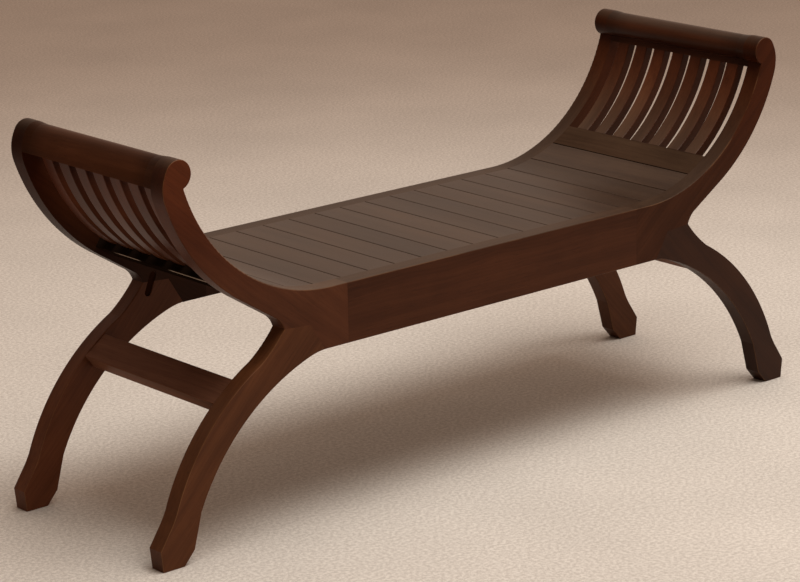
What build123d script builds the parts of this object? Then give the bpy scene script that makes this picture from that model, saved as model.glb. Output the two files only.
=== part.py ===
from build123d import *
import math
import os

# A scroll-ended slatted bench in stained hardwood, in millimetres.
# The origin is on the floor under the middle of the bench. X runs along the bench, the front is -Y and
# Z is up. Outlines are drawn for the right-hand end in (x, z) and mirrored to the left.

# Overall sizes
DEPTH = 430.0
FRAME_T = 33.0
SEAT_Z = 413.5
RAIL_BOTTOM_Z = 306.8
SEAM_X = 346.0
FRONT_Y = DEPTH / 2
INNER_Y = FRONT_Y - FRAME_T
MIDDLE_Y = FRONT_Y - FRAME_T / 2
ARRIS_R = 1.8
LEG_INNER_ARRIS_R = 1.5

# The seat line is flat and then sweeps up each arm on one arc
SWEEP_C = (380.0, 725.5)
SWEEP_R = SWEEP_C[1] - SEAT_Z
ARM_W = 42.4
ARM_OUTER_R = SWEEP_R + ARM_W
ARM_OUTER_END = -58.9

# The scroll head and the neck that blends it into the back of the arm. Between the side frames the
# head rail is a little thinner, and it swells at both ends to meet the frames flush.
ROLL_C = (688.1, 658.4)
ROLL_R = 25.5
NECK_R = 68.0
WAIST = 1.8
SWELL_L = 20.0

# The notch between arm and leg
ARM_HEEL = (499.3, 381.6)
ARM_HEEL_MID = (489.3, 371.5)
CROTCH = (483.5, 360.0)
LEG_HOLLOW_MID = (506.6, 333.4)

# The leg bows outwards between two arcs to a foot that flares on both sides
LEG_OUTER_C = (340.2, -43.8)
LEG_OUTER_R = 403.0
LEG_OUTER_START = 61.0
LEG_OUTER_END = 19.8
FLARE_MID = (728.0, 76.5)
FLARE_END = (738.5, 60.5)
TOE = (754.0, 37.0)
TOE_FLOOR_X = 750.0
HEEL_FLOOR_X = 706.5
HEEL = (685.0, 24.0)
LEG_INNER_C = (304.9, -77.4)
LEG_INNER_R = 398.0
LEG_INNER_END = 24.1
KNEE_R = 120.0

# The joint line between arm and leg
LEG_SEAM = [(398.0, RAIL_BOTTOM_Z), (428.0, 356.0), CROTCH]

# Seat boards, measured along the seat line
FLAT_PITCH = 60.7
CURVED_PITCH = 62.9
FLAT_GROOVES = 7
CURVED_GROOVES = 2
BOARD_T = 18.0
BOARD_GAP = 1.2
BOARD_EDGE_R = 1.2
TONGUE_TOP = 6.0
TONGUE_T = 8.0
TONGUE_L = 8.0

# Curved end rail and the slats that stand in it
END_RAIL_T = 33.0
END_RAIL_W = 52.3
END_RAIL_TENON_L = 20.0
END_RAIL_TENON_INSET = 8.0
SLAT_W = 29.0
SLAT_T = 18.5
SLAT_EDGE_R = 1.5
# The slats were set by eye: how far each stands behind its even place, from the front
SLAT_DRIFT = (4.0, 0.2, 1.2, -0.9, -0.4, -0.9, -2.0)
SLAT_COUNT = len(SLAT_DRIFT)
SLAT_TENON_W = 16.0
SLAT_TENON_T = 8.0
LOWER_TENON_ANGLE = 1.9
UPPER_TENON_ANGLE = 5.7
SLAT_OVERRUN = 0.5
WEB_INNER = (676.4, 625.0)
WEB_OUTER = (720.0, 636.0)
HEAD_SPIGOT_R = 14.0
HEAD_SPIGOT_L = 20.0

# Stretcher between the legs, a board lying along the back of the legs
STRETCHER_C = (582.5, 257.1)
STRETCHER_W = 54.0
STRETCHER_T = 29.5
STRETCHER_TILT = -36.9
STRETCHER_TENON_W = 34.0
STRETCHER_TENON_T = 14.0
STRETCHER_TENON_L = 20.0

# Bearers under the seat boards
BEARER_XS = {"left": -300.0, "centre": 0.0, "right": 300.0}
BEARER_W = 40.0
BEARER_H = 45.0
BEARER_TENON_W = 20.0
BEARER_TENON_H = 25.0
BEARER_TENON_L = 15.0

# Dowels and let-in keys
DOWEL_R = 5.0
DOWEL_L = 60.0
RAIL_DOWEL_ZS = (340.0, 382.0)
LEG_DOWEL_XS = (438.0, 464.0)
LEG_DOWEL_Z = 357.0
LEG_DOWEL_Y = 202.0
KEY_C = (467.5, 354.5)
KEY_L = 46.0
KEY_W = 14.0
KEY_TILT = 112.0
KEY_SLOT_DEPTH = 12.0
KEY_RECESS = 2.0


def on_circle(centre, radius, degrees):
    turn = math.radians(degrees)
    return (centre[0] + radius * math.cos(turn), centre[1] + radius * math.sin(turn))


def bearing(centre, point):
    return math.degrees(math.atan2(point[1] - centre[1], point[0] - centre[0]))


def circles_meet(c1, r1, c2, r2, side):
    """One of the two points where two circles cross; side is +1 or -1."""
    gap = math.dist(c1, c2)
    along = (r1 * r1 - r2 * r2 + gap * gap) / (2 * gap)
    across = side * math.sqrt(r1 * r1 - along * along)
    ux, uz = (c2[0] - c1[0]) / gap, (c2[1] - c1[1]) / gap
    return (c1[0] + along * ux - across * uz, c1[1] + along * uz + across * ux)


def arc(centre, radius, start, end):
    middle = on_circle(centre, radius, (start + end) / 2)
    return ThreePointArc(on_circle(centre, radius, start), middle, on_circle(centre, radius, end))


def face_of(*edges):
    return make_face(Curve() + list(edges))


def slab(face, y_low, y_high):
    """The face, drawn in (x, z), as a solid between two values of y."""
    return Pos(0, y_high, 0) * extrude(Plane.XZ * face, y_high - y_low)


def mirrored(shape):
    return mirror(shape, about=Plane.YZ)


def notch_angle(roll_r):
    """Where a scroll of this radius starts from the sweep, as an angle on the sweep."""
    return bearing(SWEEP_C, circles_meet(SWEEP_C, SWEEP_R, ROLL_C, roll_r, -1))


def neck_centre(roll_r):
    """The centre of the neck that joins a scroll of this radius to the back of the arm."""
    return circles_meet(SWEEP_C, ARM_OUTER_R - NECK_R, ROLL_C, NECK_R - roll_r, -1)


def scroll_edges(roll_r, neck_end):
    """The scroll and the neck after it, down to an angle on the neck."""
    notch = on_circle(SWEEP_C, SWEEP_R, notch_angle(roll_r))
    neck_c = neck_centre(roll_r)
    roll_end = bearing(neck_c, ROLL_C)
    roll_start = bearing(ROLL_C, notch) % 360
    return [arc(ROLL_C, roll_r, roll_start, roll_end), arc(neck_c, NECK_R, roll_end, neck_end)]


def half_outline():
    """The right half of a side frame: seat rail, arm with its scroll head, and leg."""
    neck_end = bearing(SWEEP_C, neck_centre(ROLL_R))
    arm_back = on_circle(SWEEP_C, ARM_OUTER_R, ARM_OUTER_END)
    leg_top = on_circle(LEG_OUTER_C, LEG_OUTER_R, LEG_OUTER_START)
    shin = on_circle(LEG_OUTER_C, LEG_OUTER_R, LEG_OUTER_END)
    knee_angle = math.degrees(math.asin((RAIL_BOTTOM_Z - LEG_INNER_C[1]) / LEG_INNER_R))
    ankle = on_circle(LEG_INNER_C, LEG_INNER_R, LEG_INNER_END)
    knee = on_circle(LEG_INNER_C, LEG_INNER_R, knee_angle)
    outline = face_of(
        Line((0, SEAT_Z), (SWEEP_C[0], SEAT_Z)),
        arc(SWEEP_C, SWEEP_R, -90, notch_angle(ROLL_R)),
        *scroll_edges(ROLL_R, neck_end),
        arc(SWEEP_C, ARM_OUTER_R, neck_end, ARM_OUTER_END),
        Line(arm_back, ARM_HEEL),
        ThreePointArc(ARM_HEEL, ARM_HEEL_MID, CROTCH),
        ThreePointArc(CROTCH, LEG_HOLLOW_MID, leg_top),
        arc(LEG_OUTER_C, LEG_OUTER_R, LEG_OUTER_START, LEG_OUTER_END),
        ThreePointArc(shin, FLARE_MID, FLARE_END),
        Line(FLARE_END, TOE),
        Line(TOE, (TOE_FLOOR_X, 0)),
        Line((TOE_FLOOR_X, 0), (HEEL_FLOOR_X, 0)),
        Line((HEEL_FLOOR_X, 0), HEEL),
        Line(HEEL, ankle),
        arc(LEG_INNER_C, LEG_INNER_R, LEG_INNER_END, knee_angle),
        Line(knee, (0, RAIL_BOTTOM_Z)),
        Line((0, RAIL_BOTTOM_Z), (0, SEAT_Z)),
    )
    knee_vertex = outline.vertices().sort_by_distance((knee[0], knee[1], 0))[0]
    return fillet(knee_vertex, KNEE_R)


def head_outline(roll_r):
    """The section of the head rail: the scroll and the web under it that the slats stand in."""
    web_start = bearing(SWEEP_C, WEB_INNER)
    neck_c = neck_centre(roll_r)
    web_end = bearing(neck_c, WEB_OUTER)
    return face_of(
        arc(SWEEP_C, SWEEP_R, web_start, notch_angle(roll_r)),
        *scroll_edges(roll_r, web_end),
        Line(on_circle(neck_c, NECK_R, web_end), on_circle(SWEEP_C, SWEEP_R, web_start)),
    )


def sector(inner_r, outer_r, start, end):
    """A piece of a ring about the centre of the seat's sweep."""
    return face_of(
        arc(SWEEP_C, inner_r, start, end),
        Line(on_circle(SWEEP_C, inner_r, end), on_circle(SWEEP_C, outer_r, end)),
        arc(SWEEP_C, outer_r, end, start),
        Line(on_circle(SWEEP_C, outer_r, start), on_circle(SWEEP_C, inner_r, start)),
    )


def sweep_angle(run):
    """The angle on the sweep of a distance measured along the seat line from the middle."""
    return -90 + math.degrees((run - SWEEP_C[0]) / SWEEP_R)


def seat_band(start, end, top, bottom):
    """A strip of the seat's section, between two distances along it and two depths under it."""
    flat_end = min(end, SWEEP_C[0])
    pieces = []
    if start < flat_end:
        centre = Pos((start + flat_end) / 2, SEAT_Z - (top + bottom) / 2)
        pieces.append(centre * Rectangle(flat_end - start, bottom - top))
    if end > SWEEP_C[0]:
        first = max(sweep_angle(start), -90.0)
        pieces.append(sector(SWEEP_R + top, SWEEP_R + bottom, first, sweep_angle(end)))
    return pieces[0] if len(pieces) == 1 else (pieces[0] + pieces[1]).face()


def groove_runs():
    """Where the gaps between the right-hand seat boards come, along the seat line."""
    flat = [FLAT_PITCH * (0.5 + i) for i in range(FLAT_GROOVES)]
    curved = [flat[-1] + CURVED_PITCH * (1 + i) for i in range(CURVED_GROOVES)]
    return flat + curved


GROOVES = groove_runs()
END_RAIL_START = sweep_angle(GROOVES[-1])
END_RAIL_END = sweep_angle(GROOVES[-1] + END_RAIL_W)


def seat_board(start, end):
    """One board lying across the bench, with a tongue on each end for the side frames."""
    run_start = start + BOARD_GAP / 2
    run_end = end - BOARD_GAP / 2
    section = seat_band(run_start, run_end, 0, BOARD_T)
    by_x = section.vertices().sort_by(Axis.X)
    corners = [by_x[0:2].sort_by(Axis.Y)[-1], by_x[-2:].sort_by(Axis.Y)[-1]]
    section = fillet(corners, BOARD_EDGE_R)
    board = slab(section, -INNER_Y, INNER_Y)
    tongue = seat_band(run_start, run_end, TONGUE_TOP, TONGUE_TOP + TONGUE_T)
    return board + slab(tongue, -INNER_Y - TONGUE_L, INNER_Y + TONGUE_L)


def slat_tenons(y):
    """The two tenons of an end slat, the upper one and the lower one."""
    low_r = SWEEP_R + (SLAT_T - SLAT_TENON_T) / 2
    high_r = low_r + SLAT_TENON_T
    top = notch_angle(ROLL_R)
    upper = sector(low_r, high_r, top - UPPER_TENON_ANGLE, top)
    lower = sector(low_r, high_r, END_RAIL_END - LOWER_TENON_ANGLE, END_RAIL_END + LOWER_TENON_ANGLE)
    half = SLAT_TENON_W / 2
    return slab(upper, y - half, y + half), slab(lower, y - half, y + half)


def end_slat(y):
    """One curved slat between the end rail and the head rail."""
    top = notch_angle(ROLL_R) - SLAT_OVERRUN
    section = sector(SWEEP_R, SWEEP_R + SLAT_T, END_RAIL_END, top) - head_outline(ROLL_R - WAIST)
    slat = slab(section, y - SLAT_W / 2, y + SLAT_W / 2)
    side_edges = slat.edges().filter_by(GeomType.CIRCLE)
    slat = fillet(side_edges, SLAT_EDGE_R)
    upper, lower = slat_tenons(y)
    return slat + upper + lower


def slat_ys():
    """The middle of each slat between the side frames."""
    gap = (2 * INNER_Y - SLAT_COUNT * SLAT_W) / (SLAT_COUNT + 1)
    first = -INNER_Y + gap + SLAT_W / 2
    return [first + i * (gap + SLAT_W) + drift for i, drift in enumerate(SLAT_DRIFT)]


def head_rail():
    """A turned and hollowed rail, with a round spigot on each end for the side frames."""
    waist = head_outline(ROLL_R - WAIST)
    straight = INNER_Y - SWELL_L
    swell_start = Pos(0, straight, 0) * (Plane.XZ * waist)
    swell_end = Pos(0, INNER_Y, 0) * (Plane.XZ * head_outline(ROLL_R))
    swell = loft([swell_start, swell_end], ruled=True)
    rail = slab(waist, -straight, straight) + swell + mirror(swell, about=Plane.XZ)
    spigot = Pos(*ROLL_C) * Circle(HEAD_SPIGOT_R)
    rail += slab(spigot, -INNER_Y - HEAD_SPIGOT_L, INNER_Y + HEAD_SPIGOT_L)
    for y in slat_ys():
        rail -= slat_tenons(y)[0]
    return rail


def end_rail_tenon():
    third = END_RAIL_T / 3
    inset = math.degrees(END_RAIL_TENON_INSET / SWEEP_R)
    return sector(SWEEP_R + third, SWEEP_R + 2 * third, END_RAIL_START + inset, END_RAIL_END - inset)


def end_rail():
    """The curved rail at the foot of the slats, tenoned into both arms."""
    start = sweep_angle(GROOVES[-1] + BOARD_GAP / 2)
    section = sector(SWEEP_R, SWEEP_R + END_RAIL_T, start, END_RAIL_END)
    rail = slab(section, -INNER_Y, INNER_Y)
    long_edges = rail.edges().filter_by(Axis.Y)
    rail = fillet(long_edges, BOARD_EDGE_R)
    rail += slab(end_rail_tenon(), -INNER_Y - END_RAIL_TENON_L, INNER_Y + END_RAIL_TENON_L)
    for y in slat_ys():
        rail -= slat_tenons(y)[1]
    return rail


def stretcher():
    place = Pos(*STRETCHER_C) * Rot(0, 0, STRETCHER_TILT)
    board = slab(place * RectangleRounded(STRETCHER_W, STRETCHER_T, ARRIS_R), -INNER_Y, INNER_Y)
    tenon_y = INNER_Y + STRETCHER_TENON_L
    return board + slab(place * Rectangle(STRETCHER_TENON_W, STRETCHER_TENON_T), -tenon_y, tenon_y)


def bearer(x):
    top = SEAT_Z - BOARD_T
    place = Pos(x, 0, top - BEARER_H / 2)
    beam = Box(BEARER_W, 2 * INNER_Y, BEARER_H)
    tenons = Box(BEARER_TENON_W, 2 * (INNER_Y + BEARER_TENON_L), BEARER_TENON_H)
    return place * (beam + tenons)


def rail_dowels():
    """Dowels along the bench across the butt joints between the seat rails and the arms."""
    return [
        Pos(side * SEAM_X, y, z) * Rot(0, 90, 0) * Cylinder(DOWEL_R, DOWEL_L)
        for side in (-1, 1)
        for y in (-MIDDLE_Y, MIDDLE_Y)
        for z in RAIL_DOWEL_ZS
    ]


def leg_dowels():
    """Upright dowels across the joints between the arms and the legs."""
    return [
        Pos(side * x, y, LEG_DOWEL_Z) * Cylinder(DOWEL_R, DOWEL_L)
        for side in (-1, 1)
        for y in (-LEG_DOWEL_Y, LEG_DOWEL_Y)
        for x in LEG_DOWEL_XS
    ]


def leg_key_section():
    return Pos(*KEY_C) * Rot(0, 0, KEY_TILT) * SlotOverall(KEY_L, KEY_W)


def leg_keys():
    """Keys let into the inner faces of the side frames across the arm and leg joints."""
    outer = INNER_Y + KEY_SLOT_DEPTH
    back = slab(leg_key_section(), INNER_Y + KEY_RECESS, outer)
    front = slab(leg_key_section(), -outer, -INNER_Y - KEY_RECESS)
    return [front, back, mirrored(front), mirrored(back)]


def whole_side_frame():
    """The back side frame in one piece, with rounded arrises, before it is parted at its joints."""
    half = half_outline()
    outline = (half + mirrored(half)).face()
    frame = slab(outline, INNER_Y, FRONT_Y)
    outer_edges = frame.faces().sort_by(Axis.Y)[-1].edges()
    frame = fillet(outer_edges, ARRIS_R)
    return frame


def frame_pockets(right_end):
    """Everything let into the back side frame."""
    groove = seat_band(0, GROOVES[-1], TONGUE_TOP, TONGUE_TOP + TONGUE_T)
    pockets = [slab(groove, INNER_Y, INNER_Y + TONGUE_L)]
    pockets.append(slab(leg_key_section(), INNER_Y, INNER_Y + KEY_SLOT_DEPTH))
    pockets = pockets + [mirrored(pocket) for pocket in pockets]
    pockets = pockets + right_end + [mirrored(piece) for piece in right_end]
    pockets = pockets + [bearer(x) for x in BEARER_XS.values()]
    return pockets + rail_dowels() + leg_dowels()


def rounded_leg(leg):
    """The leg with its inner arrises rounded too, up to the notch under the arm."""
    inner_face = leg.faces().sort_by(Axis.Y)[0]
    arrises = [edge for edge in inner_face.edges() if edge.center(CenterOf.BOUNDING_BOX).X > CROTCH[0]]
    return fillet(arrises, LEG_INNER_ARRIS_R)


def side_frame_pieces(right_end):
    """The back side frame parted into its seat rail and its right-hand arm and leg."""
    frame = whole_side_frame()
    far = 2 * TOE[0]
    leg_corners = [*LEG_SEAM, (far, CROTCH[1]), (far, -far), (LEG_SEAM[0][0], -far)]
    leg_region = slab(make_face(Polyline(*leg_corners, close=True)), 0, DEPTH)
    end_region = Pos(SEAM_X, 0, -far) * Box(far, DEPTH, 2 * far, align=(Align.MIN, Align.MIN, Align.MIN))
    end = frame & end_region
    pieces = {
        "seat_rail": frame - end_region - mirrored(end_region),
        "arm": end - leg_region,
        "leg": rounded_leg(end & leg_region),
    }
    for pocket in frame_pockets(right_end):
        for name in pieces:
            pieces[name] -= pocket
    return pieces


def build():
    nodes = {}
    right_end = [head_rail(), end_rail(), stretcher()]
    for name, piece in zip(("head_rail", "end_rail", "stretcher"), right_end):
        nodes["right_" + name] = piece
        nodes["left_" + name] = mirrored(piece)
    for number, y in enumerate(slat_ys(), start=1):
        slat = end_slat(y)
        nodes[f"right_end_slat_{number}"] = slat
        nodes[f"left_end_slat_{number}"] = mirrored(slat)

    pieces = side_frame_pieces(right_end)
    for name, piece in pieces.items():
        depths = {"back": piece, "front": mirror(piece, about=Plane.XZ)}
        for depth, part in depths.items():
            if name == "seat_rail":
                nodes[f"{depth}_{name}"] = part
            else:
                nodes[f"{depth}_right_{name}"] = part
                nodes[f"{depth}_left_{name}"] = mirrored(part)

    middle = len(GROOVES)
    nodes[f"seat_board_{middle:02d}"] = seat_board(-GROOVES[0], GROOVES[0])
    for step, (start, end) in enumerate(zip(GROOVES, GROOVES[1:]), start=1):
        board = seat_board(start, end)
        nodes[f"seat_board_{middle + step:02d}"] = board
        nodes[f"seat_board_{middle - step:02d}"] = mirrored(board)

    for name, x in BEARER_XS.items():
        nodes[f"{name}_bearer"] = bearer(x)
    nodes["rail_dowels"] = Compound(children=rail_dowels())
    nodes["leg_dowels"] = Compound(children=leg_dowels())
    nodes["leg_keys"] = Compound(children=leg_keys())
    return nodes


os.makedirs("parts", exist_ok=True)
for node, shape in build().items():
    export_step(shape, f"parts/{node}.step")
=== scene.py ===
import math

import bpy
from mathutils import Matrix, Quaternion, Vector


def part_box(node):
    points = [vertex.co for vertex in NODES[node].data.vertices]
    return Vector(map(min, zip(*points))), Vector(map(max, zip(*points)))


# A scroll-ended slatted bench in dark stained hardwood. The CAD nodes are all shown as they are;
# this script gives them their wood, sets them on a pale floor and lights them. Metres throughout.

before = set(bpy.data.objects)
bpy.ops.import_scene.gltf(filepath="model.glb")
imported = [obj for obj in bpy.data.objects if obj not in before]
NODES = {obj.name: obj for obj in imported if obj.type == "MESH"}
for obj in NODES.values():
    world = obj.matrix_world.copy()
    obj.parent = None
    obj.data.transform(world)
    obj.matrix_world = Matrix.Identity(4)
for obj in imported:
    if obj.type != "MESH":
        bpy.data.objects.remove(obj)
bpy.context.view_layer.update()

# Camera, looking from the front left
CAMERA_PLACE = Vector((-3.3335, -3.8208, 1.7485))
CAMERA_AZIMUTH = math.radians(-40.72)
CAMERA_ELEVATION = math.radians(16.107)
CAMERA_ROLL = math.radians(-1.1045)
CAMERA_LENS = 130.27
CAMERA_SENSOR = 36.0
CAMERA_NEAR = 0.1
CAMERA_FAR = 100.0

# Soft light from above, in a room that is dimmer to the left
LAMP_PLACE = Vector((0.4, -0.9, 3.8))
LAMP_AIM = Vector((0.1, -0.4, 0.0))
LAMP_SIZE = (2.8, 2.4)
LAMP_POWER = 124.0
LAMP_COLOUR = (1.0, 0.99, 0.95)
ROOM_STRENGTH = 0.66
ROOM_COLOURS = [(0.20, (0.21, 0.155, 0.12, 1.0)), (0.60, (1.0, 0.74, 0.58, 1.0))]

# Pale carpet, with painted shade that darkens it far from the bench, for the fall-off of the lamp's pool of
# light
FLOOR_SIZE = 40.0
FLOOR_COLOUR = (0.74, 0.69, 0.63, 1.0)
FLOOR_DARK = (0.54, 0.49, 0.44, 1.0)
FLOOR_FAR_SHADE = (0.76, 0.69, 0.65, 1.0)
LIGHT_POOL_RADII = (1.2, 4.0)
FLECK_SCALES = (420.0, 150.0)
FLECK_RANGE = (0.75, 1.25)
CLOUD_SCALE = 2.5
CLOUD_SHADES = [(0.3, 0.93), (0.7, 1.03)]
CARPET_ROUGHNESS = 0.95
CARPET_GLOSS = 0.1
PILE_STRENGTH = 0.25
PILE_HEIGHT = 0.001

# The seams between the seat rails and the arms
SEAM_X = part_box("front_seat_rail")[1].x
SEAM_HALF = 0.0006
SEAM_DEPTH = 0.35

# The axis that the arms and end rails sweep round, as X and Z, with the end rails' inner and outer radii
SWEEP_AXIS = (0.3800, 0.7255)
SWEEP_R = 0.3120
END_RAIL_R = 0.3450
LIP_Z = SWEEP_AXIS[1] - (SWEEP_AXIS[1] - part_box("left_end_rail")[1].z) * END_RAIL_R / SWEEP_R

# Stained wood: its colours, and the hues that multiply them
DARK = (0.043, 0.0134, 0.0055, 1.0)
MID = (0.060, 0.0193, 0.0080, 1.0)
LIGHT = (0.078, 0.0262, 0.0108, 1.0)
PORE = (0.018, 0.0060, 0.0030, 1.0)
# pale colour of the side frames' arrises: rubbed wear and painted highlight
ARRIS_WEAR_AND_HIGHLIGHT = (0.25, 0.13, 0.065, 1.0)
# colour of the painted highlight line along the end rails' outer arris
HIGHLIGHT_LINE_COLOUR = (0.42, 0.33, 0.26, 1.0)
PLAIN = (1.0, 1.0, 1.0, 1.0)
ORANGE = (1.12, 1.18, 1.05, 1.0)
RED = (1.16, 0.84, 0.62, 1.0)
GREY = (0.82, 1.35, 1.9, 1.0)
DUSTY = (1.12, 1.45, 2.0, 1.0)

# Grain: how it leans, how far it is drawn out, how coarse it is and how it wanders
LEG_GRAIN = math.radians(46)
ARM_GRAIN = math.radians(-40)
GRAIN_STRETCH = 0.035
PORE_STRETCH = 0.05
BROAD_SCALE = 30.0
FINE_SCALE = 220.0
PORE_SCALE = 900.0
PATCH_SCALE = 5.0
WANDER_SCALES = (2.2, 6.0)
WANDER_REACH = 0.035
PIECE_SHIFT = 37.0
PIECE_SPREAD = 0.20
BROAD_SHARE = 0.62
FINE_SHARE = 0.38
STAIN = [(0.33, DARK), (0.50, MID), (0.68, LIGHT)]
PATCH_SHADES = [(0.30, 0.80), (0.52, 1.0), (0.72, 1.22)]
PORE_RANGE = (0.58, 0.72)
PORE_DEPTH = 0.35
FINE_RELIEF = 0.4
RELIEF_STRENGTH = 0.25
RELIEF_HEIGHT = 0.0002
ROUGH_VARIATION = 0.10
WOOD_IOR = 1.5

# Wear and painted shade, each a range from none to full: by height, by how a face turns, or by place
RED_HEIGHTS = (0.40, 0.60)
SEAT_HEIGHTS = (0.395, 0.405)
SCROLL_HEIGHTS = (0.60, 0.65)
HAND_FACING = (0.30, 0.80)
SIDE_FACING = (0.60, 0.90)
ROUND_FACING = (0.70, 0.30)
DOWN_FACING = (0.50, 0.10)
OUT_FACING = (0.10, 0.40)
TOP_FACING = (0.30, 0.90)
RAIL_ENDS = (0.11, 0.18)

# Pale arrises of the side frames: rubbed wear, and a painted highlight on the rounded arrises
ARRIS_RISE = (0.20, 0.55)
ARRIS_FALL = (0.96, 0.80)
RUB_SCALE = 9.0
RUB_RANGE = (0.42, 0.62)
RUB_MOST = 0.28
RUB_LEAST = 0.04
LOW_LEG_HEIGHTS = (0.30, 0.18)
LOW_LEG_RUB = 0.22

# A painted highlight along the end rails' outer arris, in two stretches
LIP_BAND = (-0.003, -0.001)
LIP_HALF_WIDTH = (0.0015, 0.0005)
LIP_GAP_Y = 0.012
LIP_GAP = (0.036, 0.050)
LIP_END = (0.135, 0.105)


# ---------------------------------------------------------------- node helper

class Graph:
    """Adds nodes to the node tree of a material or a world, and links them."""

    def __init__(self, owner):
        self.owner = owner
        owner.use_nodes = True
        self.tree = owner.node_tree
        self.tree.nodes.clear()

    def add(self, kind, **settings):
        node = self.tree.nodes.new(kind)
        for key, value in settings.items():
            setattr(node, key, value)
        return node

    def feed(self, socket, value):
        if isinstance(value, bpy.types.NodeSocket):
            self.tree.links.new(value, socket)
        else:
            socket.default_value = value

    def math(self, operation, a, b=0.0, c=0.0):
        node = self.add("ShaderNodeMath", operation=operation)
        for socket, value in zip(node.inputs, (a, b, c)):
            self.feed(socket, value)
        return node.outputs[0]

    def blend(self, a, b, share_a, share_b):
        return self.math("ADD", self.math("MULTIPLY", a, share_a), self.math("MULTIPLY", b, share_b))

    def length(self, a, b):
        return self.math("SQRT", self.math("ADD", self.math("MULTIPLY", a, a), self.math("MULTIPLY", b, b)))

    def split(self, vector):
        node = self.add("ShaderNodeSeparateXYZ")
        self.feed(node.inputs[0], vector)
        return node.outputs

    def join(self, x, y, z):
        node = self.add("ShaderNodeCombineXYZ")
        for socket, value in zip(node.inputs, (x, y, z)):
            self.feed(socket, value)
        return node.outputs[0]

    def noise(self, vector, scale, detail=3.0, roughness=0.5):
        node = self.add("ShaderNodeTexNoise")
        self.feed(node.inputs["Vector"], vector)
        self.feed(node.inputs["Scale"], scale)
        self.feed(node.inputs["Detail"], detail)
        self.feed(node.inputs["Roughness"], roughness)
        return node.outputs["Fac"]

    def ramp(self, value, stops):
        """A colour ramp; stops are (place, colour or grey)."""
        node = self.add("ShaderNodeValToRGB")
        self.feed(node.inputs[0], value)
        elements = node.color_ramp.elements
        while len(elements) < len(stops):
            elements.new(0.5)
        for element, (place, colour) in zip(elements, stops):
            element.position = place
            element.color = colour if isinstance(colour, tuple) else (colour, colour, colour, 1.0)
        return node.outputs[0]

    def step(self, value, none, full):
        """0 at none and 1 at full, smooth between; full may be the smaller of the two."""
        node = self.add("ShaderNodeMapRange", interpolation_type="SMOOTHSTEP")
        for socket, given in zip(node.inputs, (value, none, full, 0.0, 1.0)):
            self.feed(socket, given)
        return node.outputs[0]

    def mix(self, factor, a, b, blend="MIX"):
        node = self.add("ShaderNodeMix", data_type="RGBA", blend_type=blend)
        self.feed(node.inputs["Factor"], factor)
        self.feed(node.inputs[6], a)
        self.feed(node.inputs[7], b)
        return node.outputs[2]

    def tint(self, colour, by):
        return self.mix(1.0, colour, by, "MULTIPLY")

    def bump(self, height, strength, distance):
        node = self.add("ShaderNodeBump")
        self.feed(node.inputs["Strength"], strength)
        self.feed(node.inputs["Distance"], distance)
        self.feed(node.inputs["Height"], height)
        return node.outputs[0]

    def surface(self, colour, roughness, normal, **fixed):
        shader = self.add("ShaderNodeBsdfPrincipled")
        self.feed(shader.inputs["Base Color"], colour)
        self.feed(shader.inputs["Roughness"], roughness)
        self.feed(shader.inputs["Normal"], normal)
        for name, value in fixed.items():
            shader.inputs[name.replace("_", " ")].default_value = value
        output = self.add("ShaderNodeOutputMaterial")
        self.tree.links.new(shader.outputs[0], output.inputs[0])
        return self.owner


# ---------------------------------------------------------------- the wood

def grain_directions(g, along, tilt, x, y, z):
    """Distances along the grain, across it and through it; tilt turns X grain down towards the floor."""
    if along == "Y":
        return y, x, z
    out = g.math("ABSOLUTE", x)
    run = g.blend(out, z, math.cos(tilt), -math.sin(tilt))
    across = g.blend(out, z, math.sin(tilt), math.cos(tilt))
    return run, across, y


def pale_arrises_wear_and_highlight(g, colour, place, out, z, side):
    """Pales the arrises of the side frames, as rubbed wear and painted highlight, most of all low on the
    legs, and draws their seams.
    """
    arris = g.math("MULTIPLY", g.step(side, *ARRIS_RISE), g.step(side, *ARRIS_FALL))
    patches = g.step(g.noise(place, RUB_SCALE, 4.0, 0.6), *RUB_RANGE)
    rub = g.math("MULTIPLY_ADD", patches, RUB_MOST, RUB_LEAST)
    low_leg = g.math("MULTIPLY", g.step(z, *LOW_LEG_HEIGHTS), LOW_LEG_RUB)
    colour = g.mix(g.math("MULTIPLY", arris, g.math("ADD", rub, low_leg)), colour, ARRIS_WEAR_AND_HIGHLIGHT)
    seam = g.step(g.math("ABSOLUTE", g.math("SUBTRACT", out, SEAM_X)), SEAM_HALF, 0.0)
    return g.mix(g.math("MULTIPLY", seam, SEAM_DEPTH), colour, PORE)


def paint_highlight_line(g, colour, out, y, z):
    """Paints a highlight line along an end rail's outer arris, at the foot of the slats."""
    radius = g.length(g.math("SUBTRACT", out, SWEEP_AXIS[0]), g.math("SUBTRACT", z, SWEEP_AXIS[1]))
    outermost = g.step(radius, END_RAIL_R + LIP_BAND[0], END_RAIL_R + LIP_BAND[1])
    beside = g.step(g.math("ABSOLUTE", g.math("SUBTRACT", z, LIP_Z)), *LIP_HALF_WIDTH)
    line = g.math("MULTIPLY", outermost, beside)
    lit_stretches = g.step(g.math("ABSOLUTE", g.math("SUBTRACT", y, LIP_GAP_Y)), *LIP_GAP)
    lit_stretches = g.math("MULTIPLY", lit_stretches, g.step(y, *LIP_END))
    return g.mix(g.math("MULTIPLY", line, lit_stretches), colour, HIGHLIGHT_LINE_COLOUR)


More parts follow.
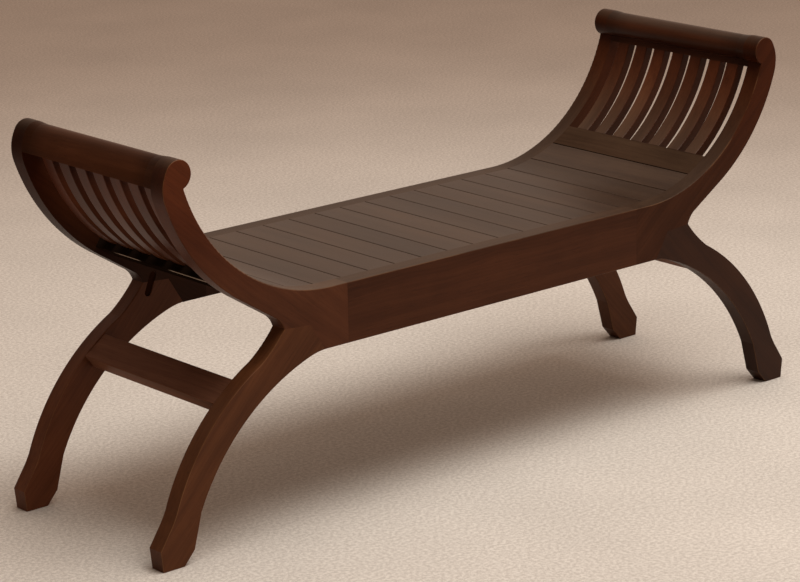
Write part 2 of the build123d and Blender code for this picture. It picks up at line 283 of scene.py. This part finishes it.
def wood(
    name, along, tilt=0.0, tone=1.0, hue=PLAIN, gloss=0.13, gleam=0.30,
    rubbed=False, edges=False, highlight_lip=False, gap_shade=1.0, under_shade=1.0, ends=1.0, scroll=1.0, top_shade=1.0,
):
    """Dark stained hardwood, with its grain along X or Y.

    rubbed reddens the wood towards the scrolls and greys the faces that hands and clothes rub.
    edges pales the arrises of a side frame, as rubbed wear and painted highlight, and lip
    paints a highlight line along an end rail's outer arris.
    sides, under, ends, scroll and top darken the faces that look along Y, those that look down or
    outwards, a cross rail's ends, the rounded surface of an arm's scroll, and the faces that look up;
    the darkening by sides, under and top is painted shade, in gaps, beneath parts and on upward faces.
    """
    g = Graph(bpy.data.materials.new(name))
    place = g.add("ShaderNodeTexCoord").outputs["Object"]
    chance = g.add("ShaderNodeObjectInfo").outputs["Random"]
    facing = g.split(g.add("ShaderNodeNewGeometry").outputs["Normal"])
    x, y, z = g.split(place)
    out = g.math("ABSOLUTE", x)

    run, across, depth = grain_directions(g, along, tilt, x, y, z)
    run = g.math("ADD", run, g.math("MULTIPLY", chance, PIECE_SHIFT))
    bends = g.join(
        g.math("MULTIPLY", run, WANDER_SCALES[0]), g.math("MULTIPLY", across, WANDER_SCALES[1]), depth)
    across = g.math("ADD", across, g.math("MULTIPLY", g.noise(bends, 1.0, 2.0), WANDER_REACH))
    grain = g.join(g.math("MULTIPLY", run, GRAIN_STRETCH), across, depth)
    broad = g.noise(grain, BROAD_SCALE, 3.0, 0.55)
    fine = g.noise(grain, FINE_SCALE, 4.0, 0.6)
    specks = g.noise(g.join(g.math("MULTIPLY", run, PORE_STRETCH), across, depth), PORE_SCALE, 2.0)
    pores = g.step(specks, *PORE_RANGE)
    patch = g.noise(g.join(run, across, depth), PATCH_SCALE)

    colour = g.ramp(g.blend(broad, fine, BROAD_SHARE, FINE_SHARE), STAIN)
    colour = g.mix(g.math("MULTIPLY", pores, PORE_DEPTH), colour, PORE)
    colour = g.tint(colour, g.ramp(patch, PATCH_SHADES))
    piece = g.math("MULTIPLY_ADD", chance, PIECE_SPREAD, tone - PIECE_SPREAD / 2)
    colour = g.tint(colour, g.join(piece, piece, piece))
    colour = g.tint(colour, hue)

    if rubbed:
        colour = g.mix(g.step(z, *RED_HEIGHTS), colour, g.tint(colour, RED))
        hands = g.math("MULTIPLY", g.step(facing[2], *HAND_FACING), g.step(z, *SEAT_HEIGHTS))
        colour = g.mix(hands, colour, g.tint(colour, GREY))
    side = g.math("ABSOLUTE", facing[1])
    outward = g.step(g.math("MULTIPLY", facing[0], g.math("SIGN", x)), *OUT_FACING)
    shades = (
        # painted shade in the gaps: faces that look along Y
        (gap_shade, g.step(side, *SIDE_FACING)),
        # painted shade on faces that look down or outwards, such as an end rail's outer face beneath the
        # slats
        (under_shade, g.math("MAXIMUM", g.step(facing[2], *DOWN_FACING), outward)),
        (ends, g.step(g.math("ABSOLUTE", y), *RAIL_ENDS)),
        (scroll, g.math("MULTIPLY", g.step(z, *SCROLL_HEIGHTS), g.step(side, *ROUND_FACING))),
        # painted shade on upward faces, such as a head rail's crown
        (top_shade, g.step(facing[2], *TOP_FACING)),
    )
    for factor, reach in shades:
        if factor < 1.0:
            colour = g.mix(reach, colour, g.tint(colour, (factor, factor, factor, 1.0)))
    if edges:
        colour = pale_arrises_wear_and_highlight(g, colour, place, out, z, side)
    # painted highlight: a pale line along an end rail's outer arris
    if highlight_lip:
        colour = paint_highlight_line(g, colour, out, y, z)

    rough = g.math("MULTIPLY_ADD", fine, ROUGH_VARIATION, gleam)
    rough = g.math("MULTIPLY_ADD", patch, ROUGH_VARIATION, rough)
    relief = g.math("SUBTRACT", g.math("MULTIPLY", fine, FINE_RELIEF), pores)
    normal = g.bump(relief, RELIEF_STRENGTH, RELIEF_HEIGHT)
    return g.surface(colour, rough, normal, IOR=WOOD_IOR, Specular_IOR_Level=gloss)


def arm_wood(name, tone, gloss, scroll):
    return wood(name, "X", ARM_GRAIN, tone, gloss=gloss, rubbed=True, edges=True, scroll=scroll)


# A node takes the first of these that is part of its name
WOODS = {
    "seat_rail": wood("rail_wood", "X", 0.0, 0.94, gloss=0.08, rubbed=True, edges=True),
    "front_left_arm": arm_wood("light_arm_wood", 1.24, 0.09, 0.5),
    # painted shade: a darker copy of the arm wood for the back left arm, whose inner face lies in the shade
    # of the slats and head rail
    "back_left_arm": arm_wood("shaded_arm_wood", 0.52, 0.055, 0.8),
    "right_arm": arm_wood("dark_arm_wood", 0.88, 0.07, 0.7),
    "leg_keys": wood("key_wood", "X", LEG_GRAIN, 0.50, gloss=0.0),
    "front_right_leg": wood("dark_leg_wood", "X", LEG_GRAIN, 0.50, edges=True),
    "back_left_leg": wood("red_leg_wood", "X", LEG_GRAIN, 1.90, gloss=0.10, edges=True),
    "leg": wood("leg_wood", "X", LEG_GRAIN, 1.22, ORANGE, 0.10, edges=True),
    # painted shade darkens the slats' faces that look along Y, into the gaps
    "slat": wood("slat_wood", "X", ARM_GRAIN, 1.20, rubbed=True, gap_shade=0.65),
    "seat_board": wood("board_wood", "Y", 0.0, 0.80, GREY, 0.15, 0.27),
    "right_head_rail": wood(
        "dark_head_rail_wood", "Y", 0.0, 0.70, DUSTY, 0.08, 0.26, rubbed=True, ends=0.6),
    # painted shade darkens the head rail's upward faces
    "head_rail": wood("head_rail_wood", "Y", 0.0, 1.55, PLAIN, 0.03, 0.26, ends=0.5, top_shade=0.6),
    # painted shade on the end rail's outer and downward faces, and a painted highlight line along its outer
    # arris
    "end_rail": wood("end_rail_wood", "Y", 0.0, 0.95, GREY, 0.0, under_shade=0.30, highlight_lip=True),
    "stretcher": wood("stretcher_wood", "Y", 0.0, 2.5, DUSTY, 0.02),
    "bearer": wood("bearer_wood", "Y", 0.0, 1.2, ORANGE),
    "dowels": wood("dowel_wood", "X", 0.0, 1.4, ORANGE),
}


def paint_nodes():
    for name, piece in NODES.items():
        kinds = [kind for kind in WOODS if kind in name]
        piece.data.materials.clear()
        piece.data.materials.append(WOODS[kinds[0]])


# ---------------------------------------------------------------- floor, light and camera

def floor():
    g = Graph(bpy.data.materials.new("pale_carpet"))
    place = g.add("ShaderNodeTexCoord").outputs["Object"]
    x, y, _ = g.split(place)
    fleck = g.math("ADD", g.noise(place, FLECK_SCALES[0], 3.0, 0.6), g.noise(place, FLECK_SCALES[1], 2.0))
    colour = g.mix(g.step(fleck, *FLECK_RANGE), FLOOR_DARK, FLOOR_COLOUR)
    colour = g.tint(colour, g.ramp(g.noise(place, CLOUD_SCALE), CLOUD_SHADES))
    # painted shade: the carpet darkens with distance from the bench, for the fall-off of the lamp's pool of
    # light
    colour = g.mix(g.step(g.length(x, y), *LIGHT_POOL_RADII), colour, g.tint(colour, FLOOR_FAR_SHADE))
    pile = g.bump(fleck, PILE_STRENGTH, PILE_HEIGHT)
    material = g.surface(colour, CARPET_ROUGHNESS, pile, Specular_IOR_Level=CARPET_GLOSS)

    mesh = bpy.data.meshes.new("floor")
    half = FLOOR_SIZE / 2
    corners = [(-half, -half, 0), (half, -half, 0), (half, half, 0), (-half, half, 0)]
    mesh.from_pydata(corners, [], [(0, 1, 2, 3)])
    mesh.materials.append(material)
    plane = bpy.data.objects.new("floor", mesh)
    bpy.context.scene.collection.objects.link(plane)


def room_light():
    world = bpy.data.worlds.new("room")
    bpy.context.scene.world = world
    g = Graph(world)
    direction = g.split(g.add("ShaderNodeTexCoord").outputs["Generated"])
    rightwards = g.math("MULTIPLY_ADD", direction[0], 0.5, 0.5)
    shade = g.add("ShaderNodeBackground")
    g.feed(shade.inputs["Color"], g.ramp(rightwards, ROOM_COLOURS))
    g.feed(shade.inputs["Strength"], ROOM_STRENGTH)
    output = g.add("ShaderNodeOutputWorld")
    g.feed(output.inputs["Surface"], shade.outputs[0])


def overhead_light():
    data = bpy.data.lights.new("overhead", "AREA")
    data.shape = "RECTANGLE"
    data.size, data.size_y = LAMP_SIZE
    data.energy = LAMP_POWER
    data.color = LAMP_COLOUR
    lamp = bpy.data.objects.new("overhead", data)
    lamp.location = LAMP_PLACE
    lamp.rotation_mode = "QUATERNION"
    lamp.rotation_quaternion = (LAMP_AIM - LAMP_PLACE).to_track_quat("-Z", "Y")
    bpy.context.scene.collection.objects.link(lamp)


def camera():
    data = bpy.data.cameras.new("camera")
    data.lens = CAMERA_LENS
    data.sensor_width = CAMERA_SENSOR
    data.clip_start = CAMERA_NEAR
    data.clip_end = CAMERA_FAR
    view = bpy.data.objects.new("camera", data)
    back = Vector((
        math.sin(CAMERA_AZIMUTH) * math.cos(CAMERA_ELEVATION),
        -math.cos(CAMERA_AZIMUTH) * math.cos(CAMERA_ELEVATION),
        math.sin(CAMERA_ELEVATION),
    ))
    view.rotation_mode = "QUATERNION"
    view.rotation_quaternion = (-back).to_track_quat("-Z", "Y") @ Quaternion((0, 0, 1), CAMERA_ROLL)
    view.location = CAMERA_PLACE
    bpy.context.scene.collection.objects.link(view)
    bpy.context.scene.camera = view


paint_nodes()
floor()
room_light()
overhead_light()
camera()
bpy.context.scene.view_settings.view_transform = "Standard"
